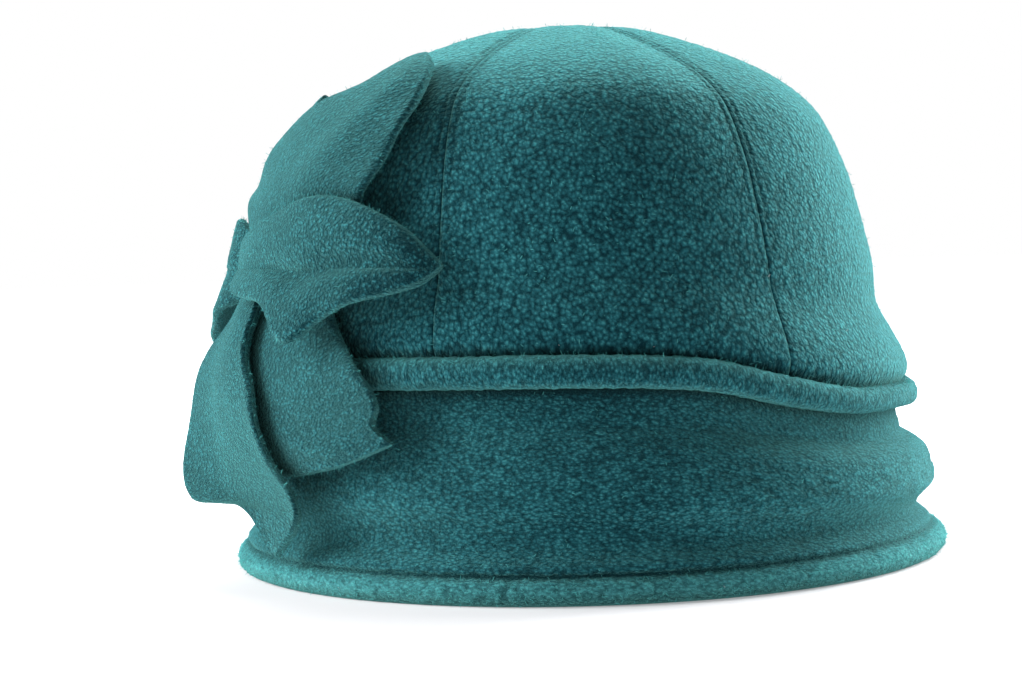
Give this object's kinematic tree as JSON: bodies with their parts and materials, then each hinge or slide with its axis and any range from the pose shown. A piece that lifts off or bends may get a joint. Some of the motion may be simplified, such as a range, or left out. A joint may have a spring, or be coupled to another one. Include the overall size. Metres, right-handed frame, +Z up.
{
  "type": "cloche hat",
  "caption": "soft fleece cloche with a panelled dome crown, a rolled welt, a slouched side band with a turned hem and a leafy cloth flower on one side",
  "frame": {"origin": "on the surface that the hat rests on, under the middle of the whole hat's bounding box", "axes": "+Z up through the crown, -Y out of the front, -X towards the side with the flower"},
  "size_m": [0.2236, 0.2262, 0.1584],
  "materials": {
    "fleece": "brushed pile fleece, teal, matte"
  },
  "bodies": {
    "root": {"gore_front": "fleece", "gore_front_right": "fleece", "gore_back_right": "fleece", "gore_back": "fleece", "gore_back_left": "fleece", "gore_front_left": "fleece", "rolled_welt": "fleece", "side_band": "fleece", "petal_upper": "fleece", "petal_front": "fleece", "petal_lower_front": "fleece", "petal_lower": "fleece", "petal_back": "fleece", "petal_upper_back": "fleece"}
  },
  "joints": []
}
